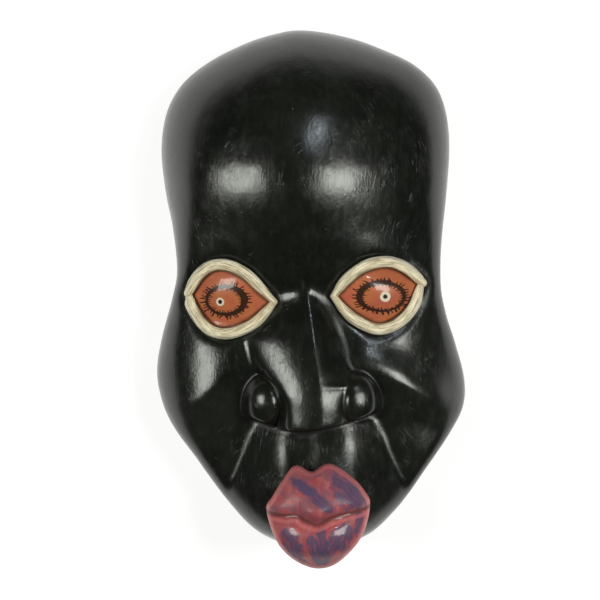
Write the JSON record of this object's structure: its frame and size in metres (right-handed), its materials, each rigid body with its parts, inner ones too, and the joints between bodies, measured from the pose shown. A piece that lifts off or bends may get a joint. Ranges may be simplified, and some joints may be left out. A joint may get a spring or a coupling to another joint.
{
  "type": "carved wooden face mask",
  "caption": "Carved wooden wall mask: tall black lacquered face with painted eyes and pursed lips, hollow behind, lying on its sawn back.",
  "frame": {"origin": "middle of the mask's box, on the plane of the sawn back", "axes": "+X to the right of the face as seen, +Y to the crown, +Z out of the face"},
  "size_m": [0.1993, 0.3412, 0.0986],
  "materials": {
    "painted_wood": "glossy black lacquer on wood, with painted eyes, lids and lips"
  },
  "bodies": {
    "root": {"mask": "painted_wood"}
  },
  "joints": []
}
